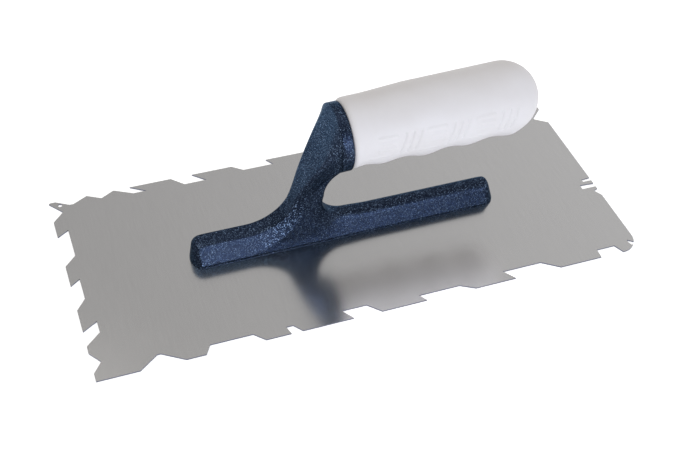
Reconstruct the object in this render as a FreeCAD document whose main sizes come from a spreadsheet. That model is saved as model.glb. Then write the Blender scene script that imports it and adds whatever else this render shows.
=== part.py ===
"""Notched trowel: notched sheet blade, cast mounting with post and collar, two-part grip.

The origin is the centre of the blade's underside.  +X runs along the blade towards the
domed end of the grip, +Y runs across the blade and +Z points up to the grip.
Lengths are in millimetres and angles in degrees.
"""
import FreeCAD, Part
import os
import re
import Sketcher

doc = FreeCAD.newDocument("notched_trowel")

# ---------------------------------------------------------------------------
# Driving dimensions.  Heights of the casting are counted from the blade's top face.
# ---------------------------------------------------------------------------
DIMENSIONS = (
    ("blade_length", 280.0),
    ("blade_width", 120.0),
    ("blade_thickness", 0.7),
    ("blade_round_corner", 9.5),
    ("blade_tooth_corner", 0.8),
    ("hang_hole_radius", 1.1),
    ("hang_hole_x", -134.7),
    ("hang_hole_y", 57.0),
    ("notch_overcut", 2.0),
    ("foot_left", -77.7),
    ("foot_right", 78.3),
    ("foot_half_width", 7.2),
    ("foot_end_radius", 8.7),
    ("foot_height", 11.0),
    ("foot_draft", 17.5),
    ("foot_top_round", 2.2),
    ("rail_height", 11.9),
    ("rail_half_width", 7.0),
    ("rail_top_half_width", 4.4),
    ("rail_edge", 0.9),
    ("rail_facet_depth", 8.4),
    ("neck_centre_x", -50.5),
    ("neck_radius", 24.3),
    ("gap_centre_x", -0.6),
    ("gap_centre_z", 26.2),
    ("gap_radius", 13.5),
    ("collar_x", -3.8),
    ("collar_z", 61.4),
    ("collar_radius", 17.0),
    ("collar_rim", 4.8),
    ("grip_tilt", 2.0),
    ("grip_axis_z", 62.7),
    ("grip_front_radius", 17.2),
    ("grip_middle_radius", 18.2),
    ("grip_dome_radius", 18.2),
    ("grip_dome_at", 82.6),
    ("grip_lip", 2.6),
    ("finger_pitch", 22.5),
    ("finger_first", 15.8),
    ("finger_half_length", 9.0),
    ("finger_rise", 0.9),
    ("finger_hollow", 0.9),
    ("finger_fade", 1.7),
    ("finger_overlap", 0.3),
    ("finger_clear", 3.0),
    ("grip_front_at", 12.0),
    ("grip_middle_at", 34.0),
    ("tang_height", 15.0),
    ("tang_width", 10.0),
    ("tang_length", 64.0),
    ("tang_root", 2.0),
    ("tang_end_gap", 1.0),
    ("core_radius", 13.6),
    ("core_length", 82.0),
    ("core_end_taper", 5.0),
    ("core_end_radius", 12.2),
    ("fit_gap", 0.12),
    ("stud_radius", 2.0),
    ("stud_height", 6.5),
    ("stud_count", 8),
    ("stud_pitch", 20.0),
    ("stud_bore_depth", 7.2),
    ("stud_flange_radius", 2.6),
    ("stud_flange_height", 0.8),
    ("stud_chamfer", 0.6),
)

sheet = doc.addObject("Spreadsheet::Sheet", "Sizes")
for row, (alias, number) in enumerate(DIMENSIONS, start=1):
    sheet.set("A%d" % row, alias)
    sheet.set("B%d" % row, "%g" % number)
    sheet.setAlias("B%d" % row, alias)
doc.recompute()


# ---------------------------------------------------------------------------
# Helpers: formulas, sketches and features
# ---------------------------------------------------------------------------
ALIASES = [alias for alias, number in DIMENSIONS]


def formula(text):
    """Write a formula of bare dimension names and numbers in the document's own syntax."""
    def cell(match):
        word = match.group(0)
        return "Sizes." + word if word in ALIASES else word
    return re.sub(r"[a-z_]+", cell, str(text))


def size(text):
    """The present value of a formula."""
    return float(sheet.evalExpression(formula(text)))


def bind(thing, path, text):
    thing.setExpression(path, formula(text))


def origin_plane(body, role):
    return next(plane for plane in body.Origin.OriginFeatures if plane.Role == role)


def new_sketch(body, name, role="XY_Plane", lift="0"):
    """A sketch on one of the body's origin planes, lifted along that plane's normal."""
    sketch = body.newObject("Sketcher::SketchObject", name)
    sketch.AttachmentSupport = (origin_plane(body, role), [""])
    sketch.MapMode = "FlatFace"
    bind(sketch, ".AttachmentOffset.Base.z", lift)
    return sketch


def new_station(body, name, at_x, at_z, heading):
    """A sketch across a path in the XZ plane.

    Its horizontal is +Y, and its vertical is the path's upper-left normal.
    The heading is the path's angle above +X.
    """
    sketch = body.newObject("Sketcher::SketchObject", name)
    sketch.AttachmentSupport = (origin_plane(body, "YZ_Plane"), [""])
    sketch.MapMode = "FlatFace"
    turn = FreeCAD.Rotation(FreeCAD.Vector(1, 0, 0), -size(heading))
    sketch.AttachmentOffset = FreeCAD.Placement(FreeCAD.Vector(), turn)
    bind(sketch, ".AttachmentOffset.Base.y", "blade_thickness + %s" % at_z)
    bind(sketch, ".AttachmentOffset.Base.z", at_x)
    return sketch


def hold(sketch, kind, geometry, point, text):
    """Hold one coordinate of a point from the sketch's origin by a formula."""
    number = size(text)
    if abs(number) < 1e-9:
        axis = -2 if kind == "DistanceX" else -1
        sketch.addConstraint(Sketcher.Constraint("PointOnObject", geometry, point, axis))
        return
    index = sketch.addConstraint(Sketcher.Constraint(kind, -1, 1, geometry, point, number))
    bind(sketch, "Constraints[%d]" % index, text)


def chain(sketch, corners, radii=None):
    """A closed chain through corners given as pairs of formulas.

    radii maps the number of a side to the radius formula of its arc.  An arc bulges to the
    right of its direction of travel, which is outwards on an anticlockwise chain.
    """
    radii = radii or {}
    first = sketch.GeometryCount
    count = len(corners)
    spots = [FreeCAD.Vector(size(x), size(y), 0) for x, y in corners]
    for side in range(count):
        start = spots[side]
        end = spots[(side + 1) % count]
        if side in radii:
            radius = size(radii[side])
            middle = (start + end) / 2
            along = (end - start).normalize()
            outwards = FreeCAD.Vector(along.y, -along.x, 0)
            half_chord = (end - start).Length / 2
            sagitta = radius - (radius ** 2 - half_chord ** 2) ** 0.5
            sketch.addGeometry(Part.Arc(start, middle + outwards * sagitta, end), False)
        else:
            sketch.addGeometry(Part.LineSegment(start, end), False)
    # An anticlockwise arc starts at its point 1, as a line does.
    for side in range(count):
        here = first + side
        there = first + (side + 1) % count
        sketch.addConstraint(Sketcher.Constraint("Coincident", here, 2, there, 1))
    for side, (x, y) in enumerate(corners):
        hold(sketch, "DistanceX", first + side, 1, x)
        hold(sketch, "DistanceY", first + side, 1, y)
    for side, radius in radii.items():
        index = sketch.addConstraint(Sketcher.Constraint("Radius", first + side, size(radius)))
        bind(sketch, "Constraints[%d]" % index, radius)


def circle(sketch, at_x, at_y, radius):
    """A full circle held by formulas."""
    centre = FreeCAD.Vector(size(at_x), size(at_y), 0)
    ring = Part.Circle(centre, FreeCAD.Vector(0, 0, 1), size(radius))
    index = sketch.addGeometry(ring, False)
    hold(sketch, "DistanceX", index, 3, at_x)
    hold(sketch, "DistanceY", index, 3, at_y)
    radius_index = sketch.addConstraint(Sketcher.Constraint("Radius", index, size(radius)))
    bind(sketch, "Constraints[%d]" % radius_index, radius)


def mirrored_section(sketch, half):
    """A closed section that is the same on both sides of the sketch's vertical axis.

    half lists (half width, depth below the sketch's origin) from the top to the bottom.
    """
    left = [("0 - (%s)" % width, "0 - (%s)" % depth) for width, depth in half]
    right = [(width, "0 - (%s)" % depth) for width, depth in half]
    chain(sketch, left + right[::-1])


def new_body(name):
    body = doc.addObject("PartDesign::Body", name)
    body.Label = name
    return body


def pad(body, sketch, name, length, taper="0"):
    feature = body.newObject("PartDesign::Pad", name)
    feature.Profile = sketch
    bind(feature, "Length", length)
    bind(feature, "TaperAngle", taper)
    return feature


def cut_through(body, sketch, name):
    """A pocket through the whole body, to both sides of its sketch."""
    before = solid_of(body).Volume
    feature = body.newObject("PartDesign::Pocket", name)
    feature.Profile = sketch
    feature.Type = "ThroughAll"
    feature.Midplane = True
    expect_change(body, before, name, smaller=True)
    return feature


def loft(body, sketches, name, ruled=False):
    feature = body.newObject("PartDesign::AdditiveLoft", name)
    feature.Profile = sketches[0]
    feature.Sections = sketches[1:]
    feature.Ruled = ruled
    return feature


def solid_of(body):
    doc.recompute()
    return body.Shape


def expect_change(body, before, name, smaller):
    after = solid_of(body).Volume
    changed = before - after if smaller else after - before
    if changed <= 0:
        raise RuntimeError("%s left the solid's volume at %.1f" % (name, after))


# ---------------------------------------------------------------------------
# Blade
# ---------------------------------------------------------------------------
# A notch is (mouth start, floor start, floor end, mouth end, depth), counted along +X or
# +Y on its edge.  A V notch has a floor of no length.  Hooked teeth lean over the floor.
FRONT_NOTCHES = (
    (-119.8, -110.5, -108.9, -98.5, 6.8),
    (-89.0, -86.0, -65.3, -60.4, 5.0),
    (-48.0, -49.4, -45.9, -42.3, 4.5),
    (-16.8, -21.0, -8.2, -2.3, 6.0),
    (21.0, 18.3, 40.0, 47.2, 4.0),
    (69.0, 64.5, 85.6, 94.3, 6.0),
    (117.2, 117.4, 127.5, 130.0, 5.2),
)
LEFT_NOTCHES = (
    (-55.3, -49.5, -49.5, -43.2, 4.5),
    (-38.9, -32.3, -25.3, -29.8, 7.4),
    (-16.0, -9.8, 3.6, 0.0, 4.9),
    (13.6, 19.6, 38.2, 34.4, 5.9),
    (45.6, 51.8, 51.8, 59.2, 5.9),
)
# The last three are out of sight behind the grip and repeat the forms of the others.
BACK_NOTCHES = (
    (-136.6, -130.0, -128.0, -120.6, 3.9),
    (-120.4, -113.5, -113.5, -106.6, 3.8),
    (-106.4, -97.0, -90.1, -98.0, 5.0),
    (-76.0, -70.0, -58.1, -64.6, 6.0),
    (-42.8, -37.2, -20.5, -23.5, 4.3),
    (2.0, 8.0, 28.0, 24.0, 6.0),
    (47.0, 52.0, 74.0, 71.0, 4.0),
    (94.0, 100.0, 118.0, 114.0, 5.0),
)
RIGHT_NOTCHES = (
    (-19.2, -15.4, -14.6, -14.0, 2.3),
    (-12.1, -12.1, -9.0, -9.5, 8.0),
    (-7.1, -7.0, -5.2, -4.9, 5.0),
    (43.8, 48.4, 49.6, 55.8, 6.7),
)


def notch_corners(start, floor_start, floor_end, end, depth, edge, side):
    """The corners of one notch, from outside the edge to its floor and back."""
    profile = [(start, "0 - notch_overcut"), (start, "0"), (floor_start, "%s" % depth)]
    if floor_end != floor_start:
        profile.append((floor_end, "%s" % depth))
    profile += [(end, "0"), (end, "0 - notch_overcut")]
    corners = []
    for along, inwards in profile:
        if side > 0:
            across = "%s / 2 - (%s)" % (edge, inwards)
        else:
            across = "(%s) - %s / 2" % (inwards, edge)
        corners.append((along, across))
    return corners


def cut_notches(body, name, notches, edge, side, along_x):
    """Cut all the notches of one edge in one pocket."""
    sketch = new_sketch(body, name + "_sketch")
    for notch in notches:
        corners = notch_corners(*notch, edge, side)
        if not along_x:
            corners = [(across, along) for along, across in corners]
        chain(sketch, corners)
    cut_through(body, sketch, name)


def vertical_edge_name(shape, at_x, at_y):
    """The name of the upright edge of a shape at one place in the plan."""
    for number, edge in enumerate(shape.Edges, start=1):
        middle = edge.CenterOfMass
        upright = edge.BoundBox.ZLength > 0 and edge.BoundBox.XLength < 1e-6
        if upright and abs(middle.x - at_x) < 1e-3 and abs(middle.y - at_y) < 1e-3:
            return "Edge%d" % number
    raise RuntimeError("no upright edge at %.1f, %.1f" % (at_x, at_y))


def round_corner(body, feature, name, at_x, at_y, radius):
    doc.recompute()
    edge_name = vertical_edge_name(feature.Shape, size(at_x), size(at_y))
    fillet = body.newObject("PartDesign::Fillet", name)
    fillet.Base = (feature, [edge_name])
    bind(fillet, "Radius", radius)
    return fillet


def make_blade():
    body = new_body("blade")
    outline = new_sketch(body, "blade_outline")
    chain(outline, [
        ("0 - blade_length / 2", "0 - blade_width / 2"),
        ("blade_length / 2", "0 - blade_width / 2"),
        ("blade_length / 2", "blade_width / 2"),
        ("0 - blade_length / 2", "blade_width / 2"),
    ])
    plate = pad(body, outline, "blade_plate", "blade_thickness")
    rounded = round_corner(body, plate, "blade_round_corner_fillet",
                           "blade_length / 2", "0 - blade_width / 2", "blade_round_corner")
    round_corner(body, rounded, "blade_tooth_corner_fillet",
                 "0 - blade_length / 2", "blade_width / 2", "blade_tooth_corner")
    cut_notches(body, "front_notches", FRONT_NOTCHES, "blade_width", -1, True)
    cut_notches(body, "back_notches", BACK_NOTCHES, "blade_width", 1, True)
    cut_notches(body, "left_notches", LEFT_NOTCHES, "blade_length", -1, False)
    cut_notches(body, "right_notches", RIGHT_NOTCHES, "blade_length", 1, False)

    slit = new_sketch(body, "corner_slit_sketch")
    chain(slit, [
        ("blade_length / 2 - 3.4", "3.0 - blade_width / 2"),
        ("blade_length / 2 + 1.0", "3.0 - blade_width / 2"),
        ("blade_length / 2 - 1.8", "5.1 - blade_width / 2"),
        ("blade_length / 2 - 4.2", "6.9 - blade_width / 2"),
        ("blade_length / 2 - 4.4", "5.4 - blade_width / 2"),
    ])
    cut_through(body, slit, "corner_slit")

    hole = new_sketch(body, "hang_hole_sketch")
    circle(hole, "hang_hole_x", "hang_hole_y", "hang_hole_radius")
    cut_through(body, hole, "hang_hole")
    return body


# ---------------------------------------------------------------------------
# Casting: foot, curved neck, post, collar and tang
# ---------------------------------------------------------------------------
def neck_spot(angle):
    """The outer contour's place where the neck has turned up by an angle."""
    at_x = "neck_centre_x + neck_radius * sin( %s )" % angle
    at_z = "rail_height + neck_radius * (1 - cos( %s ))" % angle
    return at_x, at_z


def add_foot(body):
    """The drafted bar that lies on the blade."""
    outline = new_sketch(body, "foot_outline", lift="blade_thickness")
    chain(outline, [
        ("foot_left", "0 - foot_half_width"),
        ("foot_right", "0 - foot_half_width"),
        ("foot_right", "foot_half_width"),
        ("foot_left", "foot_half_width"),
    ], {1: "foot_end_radius", 3: "foot_end_radius"})
    bar = pad(body, outline, "foot", "foot_height", "0 - foot_draft")
    doc.recompute()
    top_height = size("blade_thickness + foot_height")
    top_face = next(number for number, face in enumerate(bar.Shape.Faces, start=1)
                    if abs(face.BoundBox.ZMin - top_height) < 1e-6)
    fillet = body.newObject("PartDesign::Fillet", "foot_top_fillet")
    fillet.Base = (bar, ["Face%d" % top_face])
    bind(fillet, "Radius", "foot_top_round")
    return fillet


def rail_station(body, name, at_x, at_z, heading, widths, facet, depth):
    """One section of the rail: flat top, small edge, sloping facet, upright wall."""
    top_width, wall_width = widths
    station = new_station(body, name, at_x, at_z, heading)
    mirrored_section(station, [
        ("%s - rail_edge" % top_width, "0"),
        (top_width, "rail_edge"),
        (wall_width, facet),
        (wall_width, depth),
    ])
    return station


def add_rail(body):
    """The ridge that runs along the nose, turns up through the neck and starts the post."""
    full = ("rail_top_half_width", "rail_half_width")
    nose_sections = (
        ("foot_left", "rail_height - 2.4", ("4.6", "rail_half_width"), "5.6", "rail_height - 2.4"),
        ("foot_left + 2.2", "rail_height - 0.9", ("4.5", "rail_half_width"), "7.2",
         "rail_height - 0.9"),
        ("foot_left + 6", "rail_height - 0.2", full, "rail_facet_depth", "rail_height - 0.2"),
        ("neck_centre_x", "rail_height", full, "rail_facet_depth", "rail_height"),
    )
    nose = [rail_station(body, "nose_station_%d" % number, at_x, at_z, "0", widths, facet, depth)
            for number, (at_x, at_z, widths, facet, depth) in enumerate(nose_sections, start=1)]
    neck_sections = (
        (24, ("rail_top_half_width", "6.9"), "7.4", "14.2"),
        (48, ("rail_top_half_width", "6.7"), "6.6", "17.0"),
        (70, ("rail_top_half_width", "6.4"), "5.6", "12.6"),
    )
    neck = [rail_station(body, "neck_station_%d" % number, *neck_spot(angle), angle,
                         widths, facet, depth)
            for number, (angle, widths, facet, depth) in enumerate(neck_sections, start=1)]
    loft(body, nose, "rail_nose", ruled=True)
    return loft(body, [nose[-1]] + neck, "rail_neck")


def gap_spot(angle):
    """A place on the finger gap's round inner contour; the angle is counted from straight down."""
    at_x = "gap_centre_x - gap_radius * sin(%s)" % angle
    at_z = "gap_centre_z - gap_radius * cos(%s)" % angle
    return at_x, at_z


def web_stations(body, name, sections):
    """Sections round the finger gap: narrow inner edge, then the full width.

    A station's turn is counted from straight below the gap: 90 is beside it, on the post.
    """
    stations = []
    for number, (at_x, at_z, turned, inner, outer, edge, depth) in enumerate(sections, start=1):
        station = new_station(body, "%s_station_%d" % (name, number), at_x, at_z, -turned)
        mirrored_section(station, [(inner - 1.2, 0), (inner, 0.9), (outer, edge), (outer, depth)])
        stations.append(station)
    return stations


def add_web(body):
    """The web that turns from the foot's right half up into the post's inner side."""
    # After its place: turn, inner and outer half width, depth of the facet and of all.
    return loft(body, web_stations(body, "web", (
        gap_spot(0) + (0, 3.6, 7.2, 11.0, 12.6),
        gap_spot(40) + (40, 4.0, 7.1, 8.0, 18.0),
        gap_spot(70) + (70, 4.4, 6.8, 5.0, 14.0),
        gap_spot(98) + (98, 4.6, 6.3, 3.2, 11.0),
    )), "web")


def add_border(body):
    """The inner border of the post runs up from the web into the bottom of the collar."""
    # Each is place x and z, turn, inner and outer half width, depth of the facet and of all.
    return loft(body, web_stations(body, "border", (
        gap_spot(82) + (82, 4.5, 6.3, 3.8, 11.0),
        ("0 - 14.4", "31.8", 98, 4.6, 6.3, 3.0, 10.6),
        ("0 - 12.6", "37.4", 124, 4.6, 6.4, 3.0, 10.0),
        ("0 - 9.0", "41.2", 146, 4.8, 6.8, 3.0, 9.0),
        ("collar_x - 0.6", "43.8", 162, 5.4, 7.6, 3.0, 8.0),
    )), "border")


def add_post(body):
    """The post flares from the neck to the back of the round collar."""
    stations = []
    # Each is place x and z, heading, half width, top and bottom depth, corner radius.
    sections = (
        neck_spot(70) + (70, 4.4, 0.0, 11.0, 1.2),
        ("0 - 23.2", "42.5", 56, 6.6, 0.0, 13.0, 2.2),
        ("0 - 16.2", "60.4", 26, 12.0, 0.0, 19.5, 6.0),
        ("collar_x - collar_rim", "collar_z", "grip_tilt", 16.4, -16.4, 16.4, 16.39),
    )
    for number, section in enumerate(sections, start=1):
        at_x, at_z, heading, half_width, top, bottom, radius = section
        station = new_station(body, "post_station_%d" % number, at_x, at_z, heading)
        rounded_box(station, half_width, top, bottom, radius)
        stations.append(station)
    return loft(body, stations, "post")


def rounded_box(sketch, half_width, top, bottom, radius):
    """A section with four straight sides and four round corners, from top to bottom depth."""
    low = half_width - radius
    chain(sketch, [
        (-low, -top), (-half_width, -(top + radius)),
        (-half_width, -(bottom - radius)), (-low, -bottom),
        (low, -bottom), (half_width, -(bottom - radius)),
        (half_width, -(top + radius)), (low, -top),
    ], {0: radius, 2: radius, 4: radius, 6: radius})


def add_collar(body):
    rim = new_station(body, "collar_sketch", "collar_x", "collar_z", "grip_tilt")
    circle(rim, "0", "0", "collar_radius")
    feature = pad(body, rim, "collar", "collar_rim")
    feature.Reversed = True
    return feature


def add_tang(body):
    """The bar inside the grip."""
    section = new_station(body, "tang_sketch", "collar_x - tang_root", "grip_axis_z", "grip_tilt")
    chain(section, [
        ("0 - tang_width / 2", "0 - tang_height / 2"),
        ("tang_width / 2", "0 - tang_height / 2"),
        ("tang_width / 2", "tang_height / 2"),
        ("0 - tang_width / 2", "tang_height / 2"),
    ])
    return pad(body, section, "tang", "tang_length + tang_root")


def trim_under_foot(body):
    """Everything below the blade's top face is cut away."""
    before = solid_of(body).Volume
    plan = new_sketch(body, "under_foot_sketch", lift="blade_thickness")
    chain(plan, [
        ("0 - blade_length / 2", "0 - blade_width / 2"),
        ("blade_length / 2", "0 - blade_width / 2"),
        ("blade_length / 2", "blade_width / 2"),
        ("0 - blade_length / 2", "blade_width / 2"),
    ])
    feature = body.newObject("PartDesign::Pocket", "under_foot")
    feature.Profile = plan
    feature.Type = "ThroughAll"
    expect_change(body, before, "under_foot", smaller=True)


def stud_x(number):
    return "stud_pitch * (%d - (stud_count - 1) / 2)" % number


def cut_stud_bores(body, name, radius, depth):
    """One pocket with a blind bore over each stud."""
    before = solid_of(body).Volume
    plan = new_sketch(body, name + "_sketch", lift="blade_thickness")
    for number in range(int(size("stud_count"))):
        circle(plan, stud_x(number), "0", radius)
    feature = body.newObject("PartDesign::Pocket", name)
    feature.Profile = plan
    feature.Reversed = True
    bind(feature, "Length", depth)
    expect_change(body, before, name, smaller=True)


def make_casting():
    body = new_body("casting")
    add_foot(body)
    add_rail(body)
    add_web(body)
    add_border(body)
    add_post(body)
    add_collar(body)
    add_tang(body)
    trim_under_foot(body)
    cut_stud_bores(body, "stud_bores", "stud_radius + fit_gap", "stud_bore_depth")
    cut_stud_bores(body, "stud_seats", "stud_flange_radius + fit_gap", "stud_flange_height + fit_gap")
    return body


# ---------------------------------------------------------------------------
# Studs: welded to the blade, each in its own bore of the foot
# ---------------------------------------------------------------------------
def axis_sketch(body, name, at_x, at_z, tilt="0"):
    """A sketch in the XZ plane whose horizontal is an axis through a point, tilted up."""
    sketch = body.newObject("Sketcher::SketchObject", name)
    sketch.AttachmentSupport = (origin_plane(body, "XZ_Plane"), [""])
    sketch.MapMode = "FlatFace"
    turn = FreeCAD.Rotation(FreeCAD.Vector(0, 0, 1), size(tilt))
    sketch.AttachmentOffset = FreeCAD.Placement(FreeCAD.Vector(), turn)
    bind(sketch, ".AttachmentOffset.Base.x", at_x)
    bind(sketch, ".AttachmentOffset.Base.y", "blade_thickness + %s" % at_z)
    return sketch


def revolve(body, sketch, name, axis="H_Axis", kind="Revolution"):
    feature = body.newObject("PartDesign::" + kind, name)
    feature.Profile = sketch
    feature.ReferenceAxis = (sketch, [axis])
    feature.Angle = 360
    return feature


def make_stud(number):
    name = "stud_%d" % (number + 1)
    body = new_body(name)
    profile = axis_sketch(body, name + "_profile", stud_x(number), "0")
    chain(profile, [
        ("0", "0"),
        ("stud_flange_radius", "0"),
        ("stud_flange_radius", "stud_flange_height"),
        ("stud_radius", "stud_flange_height"),
        ("stud_radius", "stud_height - stud_chamfer"),
        ("stud_radius - stud_chamfer", "stud_height"),
        ("0", "stud_height"),
    ])
    revolve(body, profile, name + "_turned", axis="V_Axis")
    return body


# ---------------------------------------------------------------------------
# Grip: a hard core on the tang and a soft cover around it
# ---------------------------------------------------------------------------
def make_grip_core():
    body = new_body("grip_core")
    profile = axis_sketch(body, "core_profile", "collar_x", "grip_axis_z", "grip_tilt")
    chain(profile, [
        ("0", "0"),
        ("core_length", "0"),
        ("core_length - core_end_taper", "core_radius"),
        ("0", "core_radius"),
    ], {1: "core_end_radius"})
    revolve(body, profile, "core_turned")
    before = solid_of(body).Volume
    bore = new_station(body, "tang_bore_sketch", "collar_x", "grip_axis_z", "grip_tilt")
    chain(bore, [
        ("0 - tang_width / 2 - fit_gap", "0 - tang_height / 2 - fit_gap"),
        ("tang_width / 2 + fit_gap", "0 - tang_height / 2 - fit_gap"),
        ("tang_width / 2 + fit_gap", "tang_height / 2 + fit_gap"),
        ("0 - tang_width / 2 - fit_gap", "tang_height / 2 + fit_gap"),
    ])
    pocket = body.newObject("PartDesign::Pocket", "tang_bore")
    pocket.Profile = bore
    pocket.Reversed = True
    bind(pocket, "Length", "tang_length + tang_end_gap")
    expect_change(body, before, "tang_bore", smaller=True)
    return body


def finger_spot(number, shift="0"):
    return "finger_first + finger_pitch * (%d + %s)" % (number, shift)


def lens_row(sketch, middles, inner, outer, arc_side, rise):
    """A row of blocks, each with one side curved outwards, for turning about the axis."""
    half = "finger_half_length"
    for middle in middles:
        chain(sketch, [
            ("%s - %s" % (middle, half), inner),
            ("%s + %s" % (middle, half), inner),
            ("%s + %s" % (middle, half), outer),
            ("%s - %s" % (middle, half), outer),
        ], {arc_side: "((%s) * (%s) + (%s) * (%s)) / (2 * (%s))" % (half, half, rise, rise, rise)})


def make_grip_cover():
    body = new_body("grip_cover")
    profile = axis_sketch(body, "cover_profile", "collar_x", "grip_axis_z", "grip_tilt")
    chain(profile, [
        ("0", "core_radius + fit_gap"),
        ("core_length - core_end_taper + fit_gap", "core_radius + fit_gap"),
        ("core_length + fit_gap", "0"),
        ("grip_dome_at + grip_dome_radius", "0"),
        ("grip_dome_at", "grip_dome_radius"),
        ("grip_middle_at", "grip_middle_radius"),
        ("grip_front_at", "grip_front_radius"),
        ("grip_lip", "grip_front_radius"),
        ("0", "grip_front_radius - grip_lip"),
    ], {3: "grip_dome_radius", 7: "grip_lip"})
    revolve(body, profile, "cover_turned")

    # The swells between the fingers fade towards the sides, because they are turned about
    # an axis that lies lower than the grip's own.  The finger hollows do the same upwards.
    swells = axis_sketch(body, "finger_swell_sketch", "collar_x",
                         "grip_axis_z - finger_fade", "grip_tilt")
    lens_row(swells, [finger_spot(number) for number in range(4)],
             "core_radius + 1.6", "grip_middle_radius - finger_fade - finger_overlap", 2,
             "finger_rise + finger_overlap")
    revolve(body, swells, "finger_swells")
    before = solid_of(body).Volume
    hollows = axis_sketch(body, "finger_hollow_sketch", "collar_x",
                          "grip_axis_z + finger_fade", "grip_tilt")
    lens_row(hollows, [finger_spot(number, "0.5") for number in range(3)],
             "grip_middle_radius + finger_fade + finger_overlap",
             "grip_middle_radius + finger_fade + finger_clear", 0,
             "finger_hollow + finger_overlap")
    revolve(body, hollows, "finger_hollows", kind="Groove")
    expect_change(body, before, "finger_hollows", smaller=True)
    return body


# ---------------------------------------------------------------------------
# The whole document
# ---------------------------------------------------------------------------
SUB_PARTS = [make_blade(), make_casting(), make_grip_core(), make_grip_cover()]
SUB_PARTS += [make_stud(number) for number in range(int(size("stud_count")))]


def check_document():
    """Stop before anything is written if an object failed."""
    doc.recompute()
    for thing in doc.Objects:
        for word in ("Invalid", "Error"):
            if word in thing.State:
                raise RuntimeError("%s is %s: %s" % (thing.Name, word, thing.getStatusString()))
    for sub_part in SUB_PARTS:
        if sub_part.Shape.isNull() or not sub_part.Shape.isValid():
            raise RuntimeError("%s has no valid shape" % sub_part.Label)


check_document()
os.makedirs("parts", exist_ok=True)
for sub_part in SUB_PARTS:
    sub_part.Shape.exportStep("parts/%s.step" % sub_part.Label)
    print("%-12s %10.1f mm3, %d solids" % (
        sub_part.Label, sub_part.Shape.Volume, len(sub_part.Shape.Solids)))
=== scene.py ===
import math

import bpy
import numpy as np
from mathutils import Matrix, Vector


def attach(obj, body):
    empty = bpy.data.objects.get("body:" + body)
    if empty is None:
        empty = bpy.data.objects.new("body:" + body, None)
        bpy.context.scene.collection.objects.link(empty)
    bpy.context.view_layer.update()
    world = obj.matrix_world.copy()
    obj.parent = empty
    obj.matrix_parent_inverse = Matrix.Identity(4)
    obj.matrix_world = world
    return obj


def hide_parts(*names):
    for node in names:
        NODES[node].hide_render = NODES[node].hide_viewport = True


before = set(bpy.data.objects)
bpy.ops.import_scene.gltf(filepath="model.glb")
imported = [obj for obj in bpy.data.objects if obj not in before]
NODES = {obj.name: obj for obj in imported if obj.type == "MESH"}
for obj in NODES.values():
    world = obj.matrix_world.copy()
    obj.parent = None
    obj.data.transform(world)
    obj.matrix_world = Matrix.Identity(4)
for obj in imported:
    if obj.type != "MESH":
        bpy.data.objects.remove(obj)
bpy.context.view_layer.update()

# The shapes are worked out in millimetres, and MM turns them into metres. The studio is in metres.
MM = 0.001


# ---------------------------------------------------------------- shader helpers


def new_material(name):
    """An empty node material with its Principled shader."""
    material = bpy.data.materials.new(name)
    material.use_nodes = True
    return material, material.node_tree, material.node_tree.nodes["Principled BSDF"]


def set_sockets(node, **values):
    """Plain values for input sockets; an underscore in a key stands for a space."""
    for key, value in values.items():
        node.inputs[key.replace("_", " ")].default_value = value


def add_node(tree, kind, **settings):
    """One node; keys are its properties, or the names of its input sockets."""
    node = tree.nodes.new(kind)
    for key, value in settings.items():
        if hasattr(node, key):
            setattr(node, key, value)
        else:
            set_sockets(node, **{key: value})
    return node


def link(tree, source, target):
    """Joins an output socket to an input socket."""
    tree.links.new(source, target)


def object_coordinates(tree, stretch=(1.0, 1.0, 1.0)):
    """Coordinates in metres of the shared frame, scaled by stretch."""
    coordinates = add_node(tree, "ShaderNodeTexCoord")
    mapping = add_node(tree, "ShaderNodeMapping", Scale=stretch)
    link(tree, coordinates.outputs["Object"], mapping.inputs["Vector"])
    return mapping.outputs["Vector"]


def noise(tree, vector, scale, detail=2.0, roughness=0.5):
    """Grey noise between 0 and 1; scale is in waves per metre."""
    node = add_node(tree, "ShaderNodeTexNoise", Scale=scale, Detail=detail, Roughness=roughness)
    link(tree, vector, node.inputs["Vector"])
    return node.outputs["Fac"]


def map_range(tree, value, source, target=(0.0, 1.0)):
    """A value carried from the source range to the target range and held at its ends."""
    node = add_node(tree, "ShaderNodeMapRange")
    for socket, number in zip(node.inputs[1:5], (*source, *target)):
        socket.default_value = number
    link(tree, value, node.inputs["Value"])
    return node.outputs["Result"]


def two_colours(tree, factor, first, second):
    """A mix of two plain colours, first where factor is 0."""
    node = add_node(tree, "ShaderNodeValToRGB")
    node.color_ramp.elements[0].color = (*first, 1.0)
    node.color_ramp.elements[1].color = (*second, 1.0)
    link(tree, factor, node.inputs["Fac"])
    return node.outputs["Color"]


def over_colour(tree, factor, first, second):
    """A mix of a plain colour, where factor is 0, and another node's colour."""
    mix = add_node(tree, "ShaderNodeMix", data_type="RGBA")
    # The colour sockets of this node are its inputs 6 and 7 and its output 2.
    mix.inputs[6].default_value = (*first, 1.0)
    link(tree, factor, mix.inputs[0])
    link(tree, second, mix.inputs[7])
    return mix.outputs[2]


def vector_math(tree, operation, first, second=None):
    """A vector operation; second is another node's output, a plain vector or nothing."""
    node = add_node(tree, "ShaderNodeVectorMath", operation=operation)
    link(tree, first, node.inputs[0])
    if isinstance(second, tuple):
        node.inputs[1].default_value = second
    elif second is not None:
        link(tree, second, node.inputs[1])
    return node


def bump(tree, height, strength, distance):
    """A normal that follows a height; distance is in metres."""
    node = add_node(tree, "ShaderNodeBump", Strength=strength, Distance=distance)
    link(tree, height, node.inputs["Height"])
    return node.outputs["Normal"]


# ---------------------------------------------------------------- materials

NOISE_SPAN = (0.3, 0.7)

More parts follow.
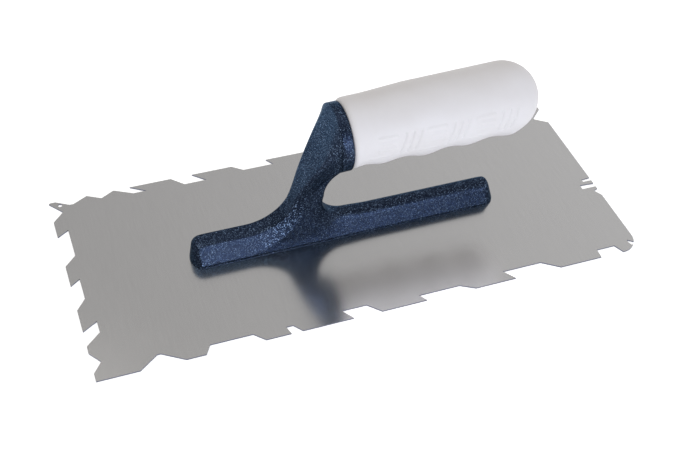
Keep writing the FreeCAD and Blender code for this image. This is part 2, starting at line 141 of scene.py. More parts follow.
STEEL_TONES = ((0.622, 0.616, 0.608), (0.652, 0.646, 0.638))
# Painted shade for the blade's cut edges, then the range of upward facing over which it gives way to the
# ground steel.
STEEL_EDGE_PAINTED_SHADE = (0.13, 0.14, 0.19)
EDGE_SHADE_TURN = (0.4, 0.8)
STEEL_ROUGHNESS = (0.17, 0.2)
GRAIN_STRETCH = (1.0, 0.03, 1.0)

PAINT_TONES = ((0.0128, 0.0208, 0.0425), (0.260, 0.370, 0.550))
PAINT_TINT = (0.42, 0.52, 0.64, 1.0)
FLAKES_PER_METRE = 3900.0
FLAKE_TILT = 0.36
FLAKE_CHANCE = (0.87, 1.0)

RUBBER_TONES = ((0.648, 0.628, 0.625), (0.678, 0.662, 0.665))
PLASTIC_TONES = ((0.015, 0.015, 0.017), (0.04, 0.04, 0.044))
PLATED_TONES = ((0.50, 0.49, 0.47), (0.62, 0.61, 0.59))

WHITE = (1.0, 1.0, 1.0, 1.0)
PAPER_WHITE = (0.97, 0.97, 0.97, 1.0)


def blade_steel():
    """Ground stainless sheet: cloudy mirror with a fine grain across the blade, and painted shade on the
    cut edges, which face sideways.
    """
    material, tree, shader = new_material("blade_steel")
    across = object_coordinates(tree, GRAIN_STRETCH)
    grain = noise(tree, across, scale=2600.0, detail=3.0, roughness=0.6)
    cloud = noise(tree, object_coordinates(tree), scale=14.0, detail=3.0)
    ground = two_colours(tree, map_range(tree, grain, NOISE_SPAN), *STEEL_TONES)
    # Painted shade: where the surface faces sideways, on the cut edges, the ground steel gives way to a
    # dark bluish colour.
    facing = add_node(tree, "ShaderNodeSeparateXYZ")
    link(tree, add_node(tree, "ShaderNodeTexCoord").outputs["Normal"], facing.inputs["Vector"])
    upright = add_node(tree, "ShaderNodeMath", operation="ABSOLUTE")
    link(tree, facing.outputs["Z"], upright.inputs[0])
    flat = map_range(tree, upright.outputs["Value"], EDGE_SHADE_TURN)
    link(tree, over_colour(tree, flat, STEEL_EDGE_PAINTED_SHADE, ground), shader.inputs["Base Color"])
    link(tree, map_range(tree, cloud, NOISE_SPAN, STEEL_ROUGHNESS), shader.inputs["Roughness"])
    link(tree, bump(tree, grain, strength=0.05, distance=0.00002), shader.inputs["Normal"])
    set_sockets(shader, Metallic=1.0)
    return material


def casting_paint():
    """Dark blue enamel full of small metal flakes, each tilted its own way, under a thin coat."""
    material, tree, shader = new_material("casting_paint")
    place = object_coordinates(tree)
    flakes = add_node(tree, "ShaderNodeTexVoronoi", Scale=FLAKES_PER_METRE)
    link(tree, place, flakes.inputs["Vector"])
    centred = vector_math(tree, "SUBTRACT", flakes.outputs["Color"], (0.5, 0.5, 0.5))
    tilt = vector_math(tree, "MULTIPLY", centred.outputs["Vector"], (FLAKE_TILT,) * 3)
    surface = add_node(tree, "ShaderNodeNewGeometry").outputs["Normal"]
    tilted = vector_math(tree, "ADD", surface, tilt.outputs["Vector"])
    unit = vector_math(tree, "NORMALIZE", tilted.outputs["Vector"])
    link(tree, unit.outputs["Vector"], shader.inputs["Normal"])
    chance = add_node(tree, "ShaderNodeSeparateColor")
    link(tree, flakes.outputs["Color"], chance.inputs["Color"])
    bright = map_range(tree, chance.outputs["Red"], FLAKE_CHANCE)
    link(tree, two_colours(tree, bright, *PAINT_TONES), shader.inputs["Base Color"])
    set_sockets(shader, Metallic=0.9, Specular_Tint=PAINT_TINT, Roughness=0.3)
    set_sockets(shader, Coat_Weight=0.06, Coat_Roughness=0.2)
    ripple = noise(tree, place, scale=420.0)
    link(tree, bump(tree, ripple, strength=0.25, distance=0.0002), shader.inputs["Coat Normal"])
    return material


def grip_rubber():
    """Soft off-white rubber with a fine matt grain."""
    material, tree, shader = new_material("grip_rubber")
    place = object_coordinates(tree)
    cloud = noise(tree, place, scale=60.0, detail=3.0)
    grain = noise(tree, place, scale=5200.0)
    tone = map_range(tree, cloud, NOISE_SPAN)
    link(tree, two_colours(tree, tone, *RUBBER_TONES), shader.inputs["Base Color"])
    set_sockets(shader, Roughness=0.55, Specular_IOR_Level=0.4)
    link(tree, bump(tree, grain, strength=0.12, distance=0.00004), shader.inputs["Normal"])
    return material


def speckled(name, tones, scale):
    """A new material, and its shader, with fine speckles between two tones."""
    material, tree, shader = new_material(name)
    speckle = noise(tree, object_coordinates(tree), scale, detail=3.0)
    link(tree, two_colours(tree, speckle, *tones), shader.inputs["Base Color"])
    return material, shader


def core_plastic():
    """Glass-filled black plastic of the hidden grip core."""
    material, shader = speckled("core_plastic", PLASTIC_TONES, scale=900.0)
    set_sockets(shader, Roughness=0.55)
    return material


def stud_steel():
    """Plated steel of the weld studs."""
    material, shader = speckled("stud_steel", PLATED_TONES, scale=1500.0)
    set_sockets(shader, Metallic=1.0, Roughness=0.35)
    return material


def floor_paper():
    """White studio paper with a faint glow that takes the grey out of it."""
    material, _, shader = new_material("floor_paper")
    set_sockets(shader, Base_Color=PAPER_WHITE, Roughness=0.9, Specular_IOR_Level=0.1)
    set_sockets(shader, Emission_Color=WHITE, Emission_Strength=0.45)
    return material


# ---------------------------------------------------------------- pieces


def dress(obj, material):
    """Gives a piece its material."""
    obj.data.materials.clear()
    obj.data.materials.append(material)


def smooth_mesh(name, points, faces):
    """A smooth-shaded mesh from points in millimetres."""
    mesh = bpy.data.meshes.new(name)
    mesh.from_pydata((points * MM).tolist(), [], faces)
    mesh.update()
    for polygon in mesh.polygons:
        polygon.use_smooth = True
    return mesh


# ---------------------------------------------------------------- casting shape
#
# The casting is described by a distance field in millimetres: x and y as in the shared frame,
# h the height above the blade and side the distance from the middle plane, which is y without its
# sign. Negative is inside. The field is then turned into a mesh.

# The blade's thickness: its underside is at 0 in the shared frame.
BLADE_TOP = 0.7

# The bar on the blade.
FOOT_ENDS = (-77.7, 78.3)
FOOT_HALF_WIDTH = 7.2
FOOT_HEIGHT = 11.0
FOOT_DRAFT = math.radians(17.5)
FOOT_TOP_ROUND = 2.6
FOOT_CORNER_EASE = 1.6
END_RADIUS = 8.7
END_CENTRE_INSET = math.sqrt(END_RADIUS**2 - FOOT_HALF_WIDTH**2)
WELL_INSIDE = -END_RADIUS

# The nose, and the neck that bends up from it to the post.
RAIL_HEIGHT = 11.9
RAIL_TOP_HALF = 4.4
NECK_X = -51.6
NECK_RADIUS = 24.3
NECK_TURN = math.radians(70.0)
NOSE_CENTRE = -72.3
NOSE_RADIUS = 8.5
NOSE_DRAFT = 0.13
NOSE_TOP_ROUND = 3.0
NOSE_EASE = 0.4

# Half width of the plate's walls and reach of its outer facet, at places from the nose to the post.
WALL_HALF = (7.0, 6.9, 6.8, 6.6)
FACET_REACH = (10.6, 8.6, 6.6, 5.0)
FACET_EASE = 0.2
BACK_ROUND = 0.6

# Centre x, centre h and radius of the finger gap's lower and upper circle.
GAP_CIRCLES = ((-0.6, 26.2, 13.9), (0.3, 30.0, 14.3))
GAP_TURN = math.radians(98.0)
WEB_RUN_OUT = 14.0

# Half width at the gap's line, reach of the inner facet and rounding, at places round the gap.
INNER_HALF = (3.6, 4.3, 6.2)
INNER_REACH = (11.0, 7.0, 3.2)
INNER_ROUND = (2.2, 1.6, 1.1)
INNER_EASE = 1.2

# The plate ends inside the post: an upright end over the gap and a top that slopes down to the back.
PLATE_END_X = -3.9
PLATE_END_ROUND = 0.8
PLATE_TOP = 47.0
PLATE_BEND_X = -14.0
PLATE_BEND_RUN = 12.0
PLATE_TOP_SLOPE = 0.9

# The rim that the grip sits against. Its rounding is given at the face and at the back.
COLLAR_X = -3.8
COLLAR_H = 61.4
COLLAR_TILT = math.radians(2.0)
COLLAR_RADIUS = 17.0
COLLAR_RIM = 3.4
COLLAR_ROUND = (0.5, 0.8)
COLLAR_FILLET = 3.4

# Post sections from the neck to the top: back x and h, turn of the section plane in degrees, depth,
# half widths at back and front, corner radius. A place counts from 0 at the first to 1 at the last.
POST_SECTIONS = (
    (-28.77, 27.9, 70.0, 9.0, 4.6, 6.6, 1.2),
    (-23.4, 42.0, 46.0, 9.6, 8.2, 6.4, 1.8),
    (-15.7, 58.2, 22.0, 15.0, 12.2, 10.0, 2.6),
    (-9.6, 76.0, 2.0, 30.6, 15.6, 15.0, 11.0),
)
POST_FRONT_ROUND = 4.0
# Run in x and rise in h of the back edge below place 0 and above place 1, for a whole place.
POST_RUN = (15.0, 21.0)
POST_RISE = (42.0, 51.0)
# Lowest and highest place that is searched, and how often that span is halved.
POST_PLACES = (-0.15, 1.6)
POST_HALVINGS = 14
# The post starts at this place; the slope turns a place into about its millimetres.
POST_START = -0.05
POST_START_SLOPE = 40.0
POST_END_INSET = 1.0
POST_FIELD_SCALE = 0.95

# The cone round the grip's axis that post and collar stay in. It starts behind the collar's face and
# lets go of what lies below the axis over the length CONE_FREED.
CONE_START = 6.2
CONE_SLOPE = 0.1
CONE_FREED = 9.0
CONE_EASE = 1.5
HEAD_EASE = 0.4

TANG_WIDTH = 15.0
TANG_HEIGHT = 10.0
TANG_LENGTH = 64.0
TANG_ROOT = 2.0

STUD_BORE_RADIUS = 2.1
STUD_BORE_DEPTH = 7.2
STUD_PITCH = 20.0
STUD_COUNT = 8

FOOT_FILLET = 1.6
HEAD_FILLET = 0.8
BOTTOM_ROUND = 0.7

CASTING_LOW = (-83.0, -18.5, -0.75)
CASTING_HIGH = (83.5, 18.5, 80.0)
CASTING_STEP = 0.5


def join(a, b, radius):
    """Union of two fields with a concave fillet."""
    corner = np.hypot(np.maximum(radius - a, 0.0), np.maximum(radius - b, 0.0))
    return np.maximum(np.minimum(a, b), radius) - corner


def overlap(a, b, radius):
    """Intersection of two fields with a rounded edge."""
    corner = np.hypot(np.maximum(radius + a, 0.0), np.maximum(radius + b, 0.0))
    return np.minimum(np.maximum(a, b), -radius) + corner


def crease(a, b, width):
    """Intersection of two nearly parallel fields, eased over a width."""
    near = np.maximum(width - np.abs(a - b), 0.0)
    return np.maximum(a, b) + near**2 / (4.0 * width)


def through(knots, places):
    """A smooth curve through evenly spaced knots, at places between 0 and 1."""
    knots = np.asarray(knots, float)
    spans = len(knots) - 1
    slopes = np.gradient(knots)
    spot = np.clip(np.asarray(places) * spans, 0.0, spans - 1e-9)
    first = spot.astype(int)
    part = spot - first
    return (
        knots[first] * (1 + 2 * part) * (1 - part) ** 2
        + slopes[first] * part * (1 - part) ** 2
        + knots[first + 1] * part**2 * (3 - 2 * part)
        + slopes[first + 1] * part**2 * (part - 1)
    )


def end_wall(x, side, h):
    """The bulged and drafted ends of the foot."""
    right = x - (FOOT_ENDS[1] - END_CENTRE_INSET)
    left = NOSE_CENTRE - x
    along = np.maximum(np.maximum(right, left), 0.0)
    reach = np.where(x < 0.0, NOSE_RADIUS - h * NOSE_DRAFT, END_RADIUS - h * math.tan(FOOT_DRAFT))
    return np.where(along > 0.0, np.hypot(along, side) - reach, WELL_INSIDE)


def foot_field(x, side, h):
    """The drafted bar on the blade."""
    flank = (side - FOOT_HALF_WIDTH + h * math.tan(FOOT_DRAFT)) * math.cos(FOOT_DRAFT)
    walls = crease(flank, end_wall(x, side, h), FOOT_CORNER_EASE)
    return overlap(walls, h - FOOT_HEIGHT, FOOT_TOP_ROUND)


def back_depth(x, h):
    """Depth below the outer line of nose, neck and post, and how far round the neck the spot is."""
    nose = RAIL_HEIGHT - h
    centre_h = RAIL_HEIGHT + NECK_RADIUS
    turned = np.arctan2(x - NECK_X, centre_h - h)
    neck = np.hypot(x - NECK_X, h - centre_h) - NECK_RADIUS
    tip_x = NECK_X + NECK_RADIUS * math.sin(NECK_TURN)
    tip_h = centre_h - NECK_RADIUS * math.cos(NECK_TURN)
    line = (x - tip_x) * math.sin(NECK_TURN) - (h - tip_h) * math.cos(NECK_TURN)
    depth = np.where(x < NECK_X, nose, np.where(turned < NECK_TURN, neck, line))
    return depth, np.where(x < NECK_X, 0.0, np.clip(turned / NECK_TURN, 0.0, 1.0))


def gap_depth(x, h):
    """Distance from the finger gap's line, and how far round the gap the spot is."""
    low_x, centre_h, low_radius = GAP_CIRCLES[0]
    low_h = centre_h - low_radius
    distances = [np.hypot(x - cx, h - ch) - radius for cx, ch, radius in GAP_CIRCLES]
    part = np.clip((x - low_x) / WEB_RUN_OUT, 0.0, 1.0)
    run_out = low_h - (low_h - FOOT_HEIGHT) * part * part * (3.0 - 2.0 * part) - h
    turned = np.arctan2(low_x - x, centre_h - h)
    share = np.where(x > low_x, 0.0, np.clip(turned / GAP_TURN, 0.0, 1.0))
    return np.where((x > low_x) & (h < centre_h), run_out, np.minimum(*distances)), share


def facet_field(side, depth, edge_half, wall_half, reach):
    """A sloping facet from its half width at an outline to the wall's, which it meets at reach."""
    slope = (wall_half - edge_half) / reach
    return (side - edge_half - slope * depth) / np.sqrt(1.0 + slope**2)


def plate_field(x, side, h):
    """Nose, neck and web: a plate with sloping facets along both of its lines."""
    back, round_neck = back_depth(x, h)
    gap, round_gap = gap_depth(x, h)
    wall_half = through(WALL_HALF, round_neck)
    wall = side - wall_half
    outer = facet_field(side, back, RAIL_TOP_HALF, wall_half, through(FACET_REACH, round_neck))
    inner_half = through(INNER_HALF, round_gap)
    inner = facet_field(side, gap, inner_half, wall_half, through(INNER_REACH, round_gap))
    flank = crease(crease(wall, outer, FACET_EASE), inner, INNER_EASE)
    lines = overlap(overlap(flank, -back, BACK_ROUND), -gap, through(INNER_ROUND, round_gap))
    nose = overlap(end_wall(x, side, h), -back, NOSE_TOP_ROUND)
    lines = crease(lines, nose, NOSE_EASE)
    end = np.where(h > GAP_CIRCLES[0][1], x - PLATE_END_X, WELL_INSIDE)
    top = h - PLATE_TOP - PLATE_TOP_SLOPE * np.clip(x - PLATE_BEND_X, -PLATE_BEND_RUN, 0.0)
    return np.maximum(overlap(lines, end, PLATE_END_ROUND), top)


def post_line(place):
    """Back edge and turn of the section at a place; it runs on straight past both ends."""
    back_x, back_h, turn = list(zip(*POST_SECTIONS))[:3]
    inside = np.clip(place, 0.0, 1.0)
    beyond = place - inside
    run = beyond * np.where(beyond < 0, *POST_RUN)
    rise = beyond * np.where(beyond < 0, *POST_RISE)
    return through(back_x, inside) + run, through(back_h, inside) + rise, np.radians(through(turn, inside))


def post_place(x, h):
    """The place, found by halving, whose section plane goes through a spot."""
    low = np.full(np.broadcast(x, h).shape, POST_PLACES[0])
    high = np.full(low.shape, POST_PLACES[1])
    for _ in range(POST_HALVINGS):
        middle = (low + high) / 2
        back_x, back_h, turn = post_line(middle)
        ahead = (x - back_x) * np.cos(turn) + (h - back_h) * np.sin(turn) > 0.0
        low = np.where(ahead, middle, low)
        high = np.where(ahead, high, middle)
    return (low + high) / 2


def post_field(x, side, h):
    """The post that flares from the neck to the collar."""
    place = post_place(x, h)
    back_x, back_h, turn = post_line(place)
    deep = (x - back_x) * np.sin(turn) - (h - back_h) * np.cos(turn)
    measures = list(zip(*POST_SECTIONS))[3:]
    inside = np.clip(place, 0.0, 1.0)
    depth, back_half, front_half, corner = (through(measure, inside) for measure in measures)
    depth = depth + np.maximum(place - 1.0, 0.0) * POST_RISE[1]
    flank = facet_field(side, deep, back_half, front_half, depth)
    section = overlap(overlap(flank, -deep, corner), deep - depth, POST_FRONT_ROUND)
    along, _ = collar_frame(x, h)
    ends = np.maximum((POST_START - place) * POST_START_SLOPE, along + POST_END_INSET)
    return np.maximum(section, ends) * POST_FIELD_SCALE


def collar_frame(x, h):
    """Distance along the grip's axis from the collar's face, and height over the axis."""
    along = (x - COLLAR_X) * math.cos(COLLAR_TILT) + (h - COLLAR_H) * math.sin(COLLAR_TILT)
    across = (h - COLLAR_H) * math.cos(COLLAR_TILT) - (x - COLLAR_X) * math.sin(COLLAR_TILT)
    return along, across


def collar_field(x, side, h):
    """The round rim that the grip sits against."""
    along, across = collar_frame(x, h)
    radial = np.hypot(side, across) - COLLAR_RADIUS
    return overlap(overlap(radial, along, COLLAR_ROUND[0]), -along - COLLAR_RIM, COLLAR_ROUND[1])


def head_field(x, side, h):
    """Post and collar together, kept inside a cone that leaves the neck free."""
    along, across = collar_frame(x, h)
    behind = -along - CONE_START
    freed = np.clip(behind / CONE_FREED, 0.0, 1.0)
    limited = np.where(across < 0.0, across * (1.0 - freed), across)
    cone = np.hypot(side, limited) - COLLAR_RADIUS + np.maximum(behind, 0.0) * CONE_SLOPE
    post = crease(post_field(x, side, h), cone, CONE_EASE)
    head = crease(join(post, collar_field(x, side, h), COLLAR_FILLET), cone, HEAD_EASE)
    return overlap(head, along, HEAD_EASE)


def tang_field(x, side, h):
    """The bar inside the grip."""
    along, across = collar_frame(x, h)
    bar = np.maximum(side - TANG_WIDTH / 2, np.abs(across) - TANG_HEIGHT / 2)
    return np.maximum(bar, np.maximum(-along - TANG_ROOT, along - TANG_LENGTH))


def casting_field(x, y, h):
    """Distance field of the whole casting."""
    side = np.abs(y)
    shape = join(foot_field(x, side, h), plate_field(x, side, h), FOOT_FILLET)
    shape = join(shape, head_field(x, side, h), HEAD_FILLET)
    shape = np.minimum(shape, tang_field(x, side, h))
    for number in range(STUD_COUNT):
        stud_x = STUD_PITCH * (number - (STUD_COUNT - 1) / 2)
        bore = np.maximum(np.hypot(x - stud_x, y) - STUD_BORE_RADIUS, h - STUD_BORE_DEPTH)
        shape = np.maximum(shape, -bore)
    return overlap(shape, -h, BOTTOM_ROUND)


# ---------------------------------------------------------------- field to mesh

SETTLE_ROUNDS = 3
SETTLE_OFFSET = 0.05
SETTLE_LEAST_SLOPE = 0.2


def surface_net(field, origin, step):
    """Vertices and quads of the zero surface of a field on a regular grid."""
    inside = field < 0.0
    cells = tuple(n - 1 for n in field.shape)
    total = np.zeros((*cells, 3))
    count = np.zeros(cells)
    corners = [(i, j, k) for i in (0, 1) for j in (0, 1) for k in (0, 1)]
    edges = [
        (a, b)
        for a in corners
        for b in corners
        if sum(b) - sum(a) == 1 and all(q >= p for p, q in zip(a, b))
    ]

    def window(array, corner):
        """The values at one corner of every cell."""
        return array[tuple(slice(c, c + n) for c, n in zip(corner, cells))]

    for start, end in edges:
        first, second = window(field, start), window(field, end)
        crossed = window(inside, start) != window(inside, end)
        part = np.where(crossed, first / np.where(crossed, first - second, 1.0), 0.0)
        for axis in range(3):
            move = start[axis] + part * (end[axis] - start[axis])
            total[..., axis] += np.where(crossed, move, 0.0)
        count += crossed
    used = count > 0
    number = np.full(cells, -1)
    number[used] = np.arange(used.sum())
    places = np.argwhere(used) + total[used] / count[used][:, None]
    quads = np.concatenate([axis_quads(inside, number, axis) for axis in range(3)])
    return np.array(origin) + places * step, quads


def axis_quads(inside, number, axis):
    """One quad round every grid edge along an axis that crosses the surface."""
    cells = number.shape
    other = [a for a in range(3) if a != axis]
    near = [slice(1, n) for n in cells]
    near[axis] = slice(0, cells[axis])
    far = list(near)
    far[axis] = slice(1, cells[axis] + 1)
    first, second = inside[tuple(near)], inside[tuple(far)]
    quads = []
    for leaves in (True, False):
        spots = np.argwhere((first != second) & (first == leaves))
        for a in other:
            spots[:, a] += 1
        ring = []
        for da, db in ((-1, -1), (0, -1), (0, 0), (-1, 0)):
            cell = spots.copy()
            cell[:, other[0]] += da
            cell[:, other[1]] += db
            ring.append(number[tuple(cell.T)])
        # The ring turns the other way round the y axis than round x and z.
        if leaves == (axis == 1):
            ring.reverse()
        quads.append(np.stack(ring, 1))
    return np.concatenate(quads)


def settle(points, field, reach):
    """Moves points onto the zero surface along the field's slope."""
    offsets = np.eye(3) * SETTLE_OFFSET
    for _ in range(SETTLE_ROUNDS):
        value = field(*points.T)
        rises = [field(*(points + offset).T) - field(*(points - offset).T) for offset in offsets]
        slope = np.stack(rises, 1) / (2 * SETTLE_OFFSET)
        size = np.maximum((slope**2).sum(1), SETTLE_LEAST_SLOPE)
        points = points - np.clip(value / size, -reach, reach)[:, None] * slope
    return points


def mesh_from_field(name, field, low, high, step):
    """A smooth-shaded mesh of a field given in millimetres above the blade."""
    axes = [np.arange(a, b + step, step) for a, b in zip(low, high)]
    grid = field(axes[0][:, None, None], axes[1][None, :, None], axes[2][None, None, :])
    points, quads = surface_net(grid, low, step)
    points = settle(points, field, 0.5 * step)
    points[:, 2] += BLADE_TOP
    return smooth_mesh(name, points, quads.tolist())


def build_casting(material):
    """The painted casting."""
    mesh = mesh_from_field("casting_painted", casting_field, CASTING_LOW, CASTING_HIGH, CASTING_STEP)
    piece = bpy.data.objects.new("casting_painted", mesh)
    bpy.context.scene.collection.objects.link(piece)
    dress(piece, material)
    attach(piece, "root")
    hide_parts("casting")


# ---------------------------------------------------------------- grip cover shape
#
# Lengths in millimetres. s runs along the grip's axis from the casting; the turn is 0 at the
# front side, -90 degrees underneath.

GRIP_START = (COLLAR_X, 0.0, 62.7 + BLADE_TOP)
GRIP_LIP = 2.6
# Pairs of s and radius: the outside up to the dome, then the room for the core.
GRIP_PROFILE = ((GRIP_LIP, 17.2), (12.0, 17.2), (34.0, 18.2), (82.6, 18.2))
DOME_START, DOME_RADIUS = GRIP_PROFILE[-1]
CORE_ROOM = ((0.0, 13.72), (77.1, 13.72), (80.2, 9.2), (81.8, 4.0))
CORE_ROOM_END = 82.12
GRIP_STEP = 0.4
GRIP_TURNS = 288
LIP_RINGS = 6

FINGER_FIRST = 15.8
FINGER_PITCH = 22.5
FINGER_WAVE = 0.85
FINGER_TURNS = (-12.0, -62.0)
FINGER_FADE_IN = (2.0, 9.0)
FINGER_FADE_OUT = (96.0, 84.0)

# Start and end of each stroke: s, then the distance round the grip from its front side.
PAD_GROUPS = (0.0, 24.6, 50.0)
PADS = (
    (12.2, 6.2, 20.6, 6.2),
    (14.6, 2.9, 20.2, 2.9),
    (12.4, -0.4, 19.6, -0.4),
    (8.6, -5.4, 17.4, -5.4),
)
PAD_HALF = 0.75
PAD_RISE = 0.22
PAD_EDGE = 0.35
PAD_DIP = 0.2 * PAD_RISE
PAD_DIP_AWAY = 0.6
GROOVES = ((25.4, 6.6, 22.2, -5.0), (29.2, 6.6, 26.0, -4.4), (33.0, 6.6, 29.8, -3.8))
GROOVE_HALF = 0.55
GROOVE_DEPTH = 0.5
RELIEF_FADE = (92.0, 86.0)


def ramp(value, low, high):
    """0 at low and 1 at high, smooth in between and flat beyond; low may be the larger."""
    part = np.clip((value - low) / (high - low), 0.0, 1.0)
    return part * part * (3.0 - 2.0 * part)


def stroke_distance(s, across, stroke):
    """Distance from a straight stroke on the unrolled grip."""
    s1, a1, s2, a2 = stroke
    squared = (s2 - s1) ** 2 + (a2 - a1) ** 2
    part = np.clip(((s - s1) * (s2 - s1) + (across - a1) * (a2 - a1)) / squared, 0.0, 1.0)
    return np.hypot(s - s1 - part * (s2 - s1), across - a1 - part * (a2 - a1))


def moulded_relief(s, turn):
    """Flat pads and slanted grooves, three groups on each side of the grip."""
    folded = np.where(np.abs(turn) > 90.0, np.sign(turn) * 180.0 - turn, turn)
    across = np.radians(folded) * DOME_RADIUS
    height = np.zeros(np.broadcast(s, turn).shape)
    for shift in PAD_GROUPS:
        for pad in PADS:
            far = stroke_distance(s - shift, across, pad)
            height += PAD_RISE * ramp(far, PAD_HALF + PAD_EDGE, PAD_HALF - PAD_EDGE)
            height -= PAD_DIP * np.exp(-(((far - PAD_HALF - PAD_DIP_AWAY) / PAD_EDGE) ** 2))
        for groove in GROOVES:
            far = stroke_distance(s - shift, across, groove)
            height -= GROOVE_DEPTH * np.exp(-((far / GROOVE_HALF) ** 2))
    return height


def grip_radius(s, turn):
    """Outer radius of the grip cover."""
    places, radii = zip(*GRIP_PROFILE)
    radius = np.interp(s, places, radii)
    dome = np.sqrt(np.maximum(DOME_RADIUS**2 - np.maximum(s - DOME_START, 0.0) ** 2, 0.0))
    lip = np.sqrt(np.maximum(GRIP_LIP**2 - np.maximum(GRIP_LIP - s, 0.0) ** 2, 0.0)) - GRIP_LIP
    radius = np.where(s > DOME_START, dome, radius + lip)
    under = np.where(turn < -90.0, -180.0 - turn, turn)
    fade = ramp(under, *FINGER_TURNS) * ramp(s, *FINGER_FADE_IN) * ramp(s, *FINGER_FADE_OUT)
    wave = FINGER_WAVE * np.cos(2.0 * math.pi * (s - FINGER_FIRST) / FINGER_PITCH)
    return radius + fade * wave + moulded_relief(s, turn) * ramp(s, *RELIEF_FADE)


def grip_rings(turns):
    """Places and radii of all rings: the room for the core, from its closed end, then the outside."""
    lip_angles = np.linspace(0.0, math.pi / 2, LIP_RINGS + 1)[:-1]
    straight = np.arange(0.0, DOME_START, GRIP_STEP)
    dome_angles = np.arange(0.0, math.pi / 2, GRIP_STEP / DOME_RADIUS)
    places = np.concatenate(
        [
            GRIP_LIP * (1.0 - np.cos(lip_angles)),
            straight[straight > GRIP_LIP],
            DOME_START + DOME_RADIUS * np.sin(dome_angles),
        ]
    )[:, None]
    outer = np.stack(np.broadcast_arrays(places, grip_radius(places, turns[None, :])), -1)
    room = np.array(CORE_ROOM)[::-1]
    inner = np.broadcast_to(room[:, None, :], (len(room), GRIP_TURNS, 2))
    return np.concatenate([inner, outer])


def grip_points(rings, turns):
    """Points of all rings, then the tip of the core's room and the tip of the dome."""
    angle = np.radians(turns)[None, :]
    along = np.array((math.cos(COLLAR_TILT), 0.0, math.sin(COLLAR_TILT)))
    upward = np.array((-math.sin(COLLAR_TILT), 0.0, math.cos(COLLAR_TILT)))
    front = np.array((0.0, -1.0, 0.0))
    around = np.cos(angle)[..., None] * front + np.sin(angle)[..., None] * upward
    points = np.array(GRIP_START) + rings[..., :1] * along + rings[..., 1:] * around
    tips = np.array(GRIP_START) + np.outer((CORE_ROOM_END, DOME_START + DOME_RADIUS), along)
    return np.vstack([points.reshape(-1, 3), tips])


def grip_faces(count):
    """Quads between neighbouring rings, and triangles from the first and last ring to their tips."""
    faces = []
    for ring in range(count - 1):
        here = ring * GRIP_TURNS
        beyond = here + GRIP_TURNS
        for turn in range(GRIP_TURNS):
            after = (turn + 1) % GRIP_TURNS
            faces.append((here + turn, beyond + turn, beyond + after, here + after))
    room_tip = count * GRIP_TURNS
    last = room_tip - GRIP_TURNS
    for turn in range(GRIP_TURNS):
        after = (turn + 1) % GRIP_TURNS
        faces.append((room_tip, turn, after))
        faces.append((room_tip + 1, last + after, last + turn))
    return faces


def build_grip_cover(material):
    """The soft cover: domed end, finger waves underneath, moulded pads on the sides."""
    turns = np.arange(GRIP_TURNS) * 360.0 / GRIP_TURNS - 180.0
    rings = grip_rings(turns)
    mesh = smooth_mesh("grip_cover_moulded", grip_points(rings, turns), grip_faces(len(rings)))
    piece = bpy.data.objects.new("grip_cover_moulded", mesh)
    bpy.context.scene.collection.objects.link(piece)
    dress(piece, material)
    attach(piece, "root")
    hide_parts("grip_cover")


# ---------------------------------------------------------------- studio

FLOOR_HALF = 4.0
FLOOR_DROP = 0.05 * MM

CAMERA_PLACE = Vector((-163.52, -390.85, 421.40)) * MM
CAMERA_FORWARD = Vector((0.273, 0.6497, -0.7095))
CAMERA_RIGHT = Vector((0.9385, -0.3419, 0.0481))
CAMERA_SENSOR = 36.0
CAMERA_LENS = 60.7
CAMERA_CLIP_START = 0.01

# The room is lighter in this direction, which is to the right and down.
ROOM_LIGHTER = (0.8, 0.0, -0.5)
ROOM_SPAN = (-0.35, 0.1)
ROOM_TONES = ((0.455, 0.452, 0.452), (0.675, 0.673, 0.68))

# Name, place, aim, size, power in watts and colour of each soft box.
SOFT_BOXES = (
    ("front_box", (0.12, -1.2, 0.36), (0.0, 0.0, 0.03), 0.5, 6.8, (0.76, 0.83, 1.0)),
    ("top_box", (-0.3, 0.25, 1.5), (0.0, 0.0, 0.0), 1.2, 7.2, (1.0, 0.97, 0.93)),
)


def build_floor():
    """A large white floor just under the blade."""
    low, high = -FLOOR_HALF, FLOOR_HALF
    mesh = bpy.data.meshes.new("floor")
    corners = [(low, low, 0.0), (high, low, 0.0), (high, high, 0.0), (low, high, 0.0)]
    mesh.from_pydata(corners, [], [(0, 1, 2, 3)])
    mesh.materials.append(floor_paper())
    floor = bpy.data.objects.new("floor", mesh)
    floor.location = (0.0, 0.0, -FLOOR_DROP)
    bpy.context.scene.collection.objects.link(floor)


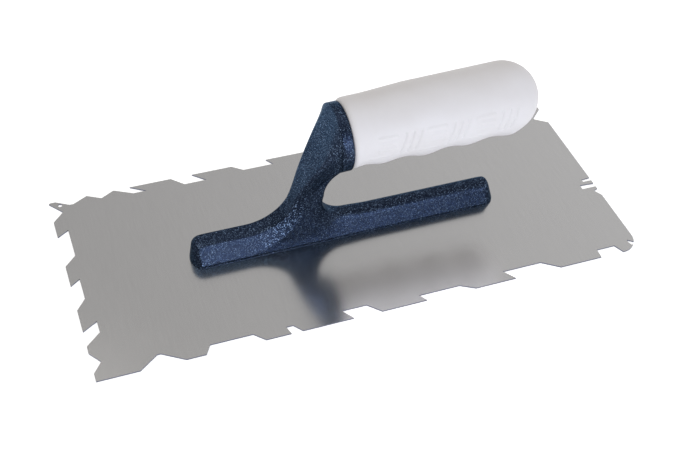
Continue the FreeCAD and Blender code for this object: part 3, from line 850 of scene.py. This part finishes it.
def build_camera():
    """The view of the object from its front left, about 45 degrees down."""
    forward = CAMERA_FORWARD.normalized()
    right = (CAMERA_RIGHT - forward * CAMERA_RIGHT.dot(forward)).normalized()
    up = right.cross(forward)
    data = bpy.data.cameras.new("camera")
    data.sensor_width = CAMERA_SENSOR
    data.lens = CAMERA_LENS
    data.clip_start = CAMERA_CLIP_START
    camera = bpy.data.objects.new("camera", data)
    turn = Matrix((right, up, -forward)).transposed().to_4x4()
    camera.matrix_world = Matrix.Translation(CAMERA_PLACE) @ turn
    bpy.context.scene.collection.objects.link(camera)
    bpy.context.scene.camera = camera


def area_light(name, location, aim, size, power, colour):
    """A square soft box at location that points at aim."""
    data = bpy.data.lights.new(name, "AREA")
    data.shape = "SQUARE"
    data.size = size
    data.energy = power
    data.color = colour
    light = bpy.data.objects.new(name, data)
    light.location = location
    direction = Vector(aim) - Vector(location)
    light.rotation_euler = direction.to_track_quat("-Z", "Y").to_euler()
    bpy.context.scene.collection.objects.link(light)


def build_room():
    """A grey room around the object."""
    world = bpy.data.worlds.new("studio")
    bpy.context.scene.world = world
    world.use_nodes = True
    tree = world.node_tree
    background = tree.nodes["Background"]
    set_sockets(background, Strength=1.0)
    direction = add_node(tree, "ShaderNodeTexCoord").outputs["Generated"]
    slant = vector_math(tree, "DOT_PRODUCT", direction, ROOM_LIGHTER)
    share = map_range(tree, slant.outputs["Value"], ROOM_SPAN)
    link(tree, two_colours(tree, share, *ROOM_TONES), background.inputs["Color"])


def build_studio():
    """Floor, camera, room and lights, shown without a film look."""
    build_floor()
    build_camera()
    build_room()
    for soft_box in SOFT_BOXES:
        area_light(*soft_box)
    bpy.context.scene.view_settings.view_transform = "Standard"
    bpy.context.scene.view_settings.look = "None"


# ---------------------------------------------------------------- assembly

steel = blade_steel()
paint = casting_paint()
rubber = grip_rubber()
plastic = core_plastic()
plated = stud_steel()

dress(NODES["blade"], steel)
dress(NODES["grip_core"], plastic)
dress(NODES["grip_cover"], rubber)
for node_name in sorted(NODES):
    if node_name.startswith("stud_"):
        dress(NODES[node_name], plated)
dress(NODES["casting"], paint)
build_casting(paint)
build_grip_cover(rubber)
build_studio()
